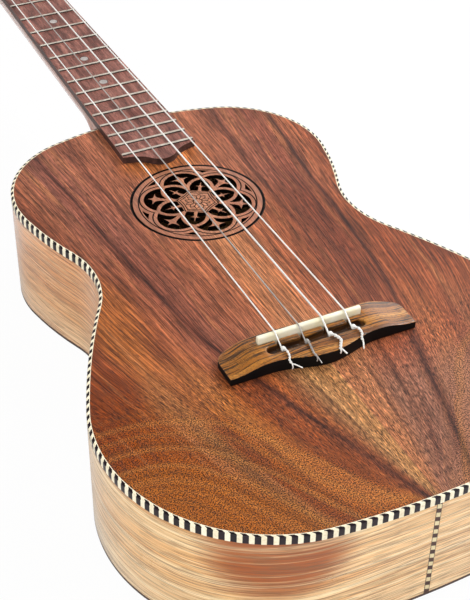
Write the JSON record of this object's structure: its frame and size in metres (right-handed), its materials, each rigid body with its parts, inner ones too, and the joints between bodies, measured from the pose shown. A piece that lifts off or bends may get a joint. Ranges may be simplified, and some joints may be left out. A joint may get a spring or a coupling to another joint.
{
  "type": "baritone ukulele",
  "caption": "Figure-eight wooden body with a tracery soundhole, rope edge, tie bridge, fretted neck, tilted headstock and geared tuners.",
  "frame": {"origin": "on the outer face of the back, on the centreline, straight under the line of the saddle", "axes": "+X to the treble side, +Y along the neck to the headstock, +Z out of the soundboard"},
  "size_m": [0.2386, 0.7761, 0.0753],
  "materials": {
    "top_wood": "satin",
    "side_wood": "satin",
    "rosette_wood": "satin",
    "edge_wood": "satin",
    "rope_inlay": "satin",
    "brace_wood": "matte",
    "block_wood": "matte",
    "neck_wood": "satin",
    "board_wood": "satin",
    "bridge_wood": "satin",
    "bone": "satin",
    "pearl": "gloss",
    "string": "gloss",
    "tuner_casting": "polished",
    "tuner_metal": "polished",
    "button_plastic": "gloss"
  },
  "bodies": {
    "instrument": {"soundboard": "top_wood", "rosette": "rosette_wood", "back": "edge_wood", "side_bass": "side_wood", "side_treble": "side_wood", "end_graft": "rope_inlay", "rope_binding": "rope_inlay", "lining_top_bass": "brace_wood", "lining_top_treble": "brace_wood", "lining_back_bass": "brace_wood", "lining_back_treble": "brace_wood", "neck_block": "block_wood", "tail_block": "block_wood", "soundhole_ring": "brace_wood", "bridge_plate": "brace_wood", "upper_brace": "brace_wood", "lower_brace": "brace_wood", "fan_brace_bass": "brace_wood", "fan_brace_centre": "brace_wood", "fan_brace_treble": "brace_wood", "back_brace_upper": "brace_wood", "back_brace_waist": "brace_wood", "back_brace_lower": "brace_wood", "neck": "neck_wood", "heel_cap": "edge_wood", "head_veneer": "board_wood", "fretboard": "board_wood", "position_dot_5": "pearl", "position_dot_7": "pearl", "position_dot_10": "pearl", "position_dot_12": "pearl", "nut": "bone", "bridge": "bridge_wood", "saddle": "bone", "string_1": "string", "string_2": "string", "string_3": "string", "string_4": "string", "tuner_housing_1": "tuner_casting", "tuner_housing_2": "tuner_casting", "tuner_housing_3": "tuner_casting", "tuner_housing_4": "tuner_casting", "tuner_bushing_1": "tuner_metal", "tuner_bushing_2": "tuner_metal", "tuner_bushing_3": "tuner_metal", "tuner_bushing_4": "tuner_metal"},
    "button_1": {"tuner_shaft_1": "tuner_metal", "tuner_button_1": "button_plastic"},
    "post_1": {"tuner_post_1": "tuner_metal"},
    "button_2": {"tuner_shaft_2": "tuner_metal", "tuner_button_2": "button_plastic"},
    "post_2": {"tuner_post_2": "tuner_metal"},
    "button_3": {"tuner_shaft_3": "tuner_metal", "tuner_button_3": "button_plastic"},
    "post_3": {"tuner_post_3": "tuner_metal"},
    "button_4": {"tuner_shaft_4": "tuner_metal", "tuner_button_4": "button_plastic"},
    "post_4": {"tuner_post_4": "tuner_metal"}
  },
  "joints": [
    {"name": "button_turn_1", "type": "hinge", "parent": "instrument", "child": "button_1", "pos_m": [0.0175, 0.56549, 0.03453], "axis": [1, 0, 0], "continuous": true},
    {"name": "post_turn_1", "type": "hinge", "parent": "instrument", "child": "post_1", "pos_m": [0.0175, 0.56242, 0.05224], "axis": [0, 0.1908, 0.9816], "continuous": true, "deforming": ["string_1"]},
    {"name": "button_turn_2", "type": "hinge", "parent": "instrument", "child": "button_2", "pos_m": [0.0175, 0.61654, 0.02461], "axis": [1, 0, 0], "continuous": true},
    {"name": "post_turn_2", "type": "hinge", "parent": "instrument", "child": "post_2", "pos_m": [0.0175, 0.61346, 0.04232], "axis": [0, 0.1908, 0.9816], "continuous": true, "deforming": ["string_2"]},
    {"name": "button_turn_3", "type": "hinge", "parent": "instrument", "child": "button_3", "pos_m": [-0.0175, 0.61654, 0.02461], "axis": [-1, 0, 0], "continuous": true},
    {"name": "post_turn_3", "type": "hinge", "parent": "instrument", "child": "post_3", "pos_m": [-0.0175, 0.61346, 0.04232], "axis": [0, 0.1908, 0.9816], "continuous": true, "deforming": ["string_3"]},
    {"name": "button_turn_4", "type": "hinge", "parent": "instrument", "child": "button_4", "pos_m": [-0.0175, 0.56549, 0.03453], "axis": [-1, 0, 0], "continuous": true},
    {"name": "post_turn_4", "type": "hinge", "parent": "instrument", "child": "post_4", "pos_m": [-0.0175, 0.56242, 0.05224], "axis": [0, 0.1908, 0.9816], "continuous": true, "deforming": ["string_4"]}
  ],
  "couplings": [
    {"joint": "post_turn_1", "follows": "button_turn_1", "ratio": -0.071429},
    {"joint": "post_turn_2", "follows": "button_turn_2", "ratio": -0.071429},
    {"joint": "post_turn_3", "follows": "button_turn_3", "ratio": 0.071429},
    {"joint": "post_turn_4", "follows": "button_turn_4", "ratio": 0.071429}
  ]
}
